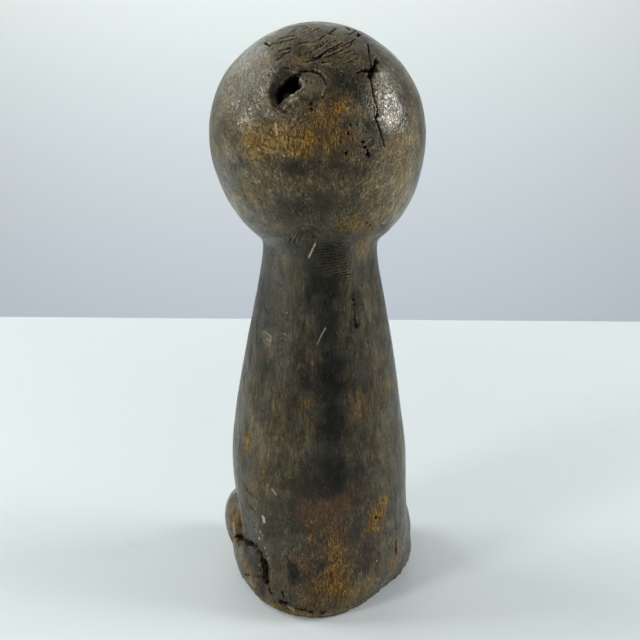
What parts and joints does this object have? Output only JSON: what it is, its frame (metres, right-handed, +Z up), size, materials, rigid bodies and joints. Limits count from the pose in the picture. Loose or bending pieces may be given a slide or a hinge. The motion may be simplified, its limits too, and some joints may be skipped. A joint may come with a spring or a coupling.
{
  "type": "lega figure",
  "caption": "Carved wooden kneeling figure: a ball of a head with a hollowed heart-shaped face on an armless trunk that widens to folded legs and a flat underside.",
  "frame": {"origin": "on the ground, on the axis of the log that the figure was carved from", "axes": "+Z up along the figure, -Y the way the face looks, +X the figure's left side"},
  "size_m": [0.098, 0.096, 0.27],
  "materials": {
    "wood": "dark handled patina with a soft sheen, ochre where it is worn"
  },
  "bodies": {
    "root": {"figure": "wood"}
  },
  "joints": []
}
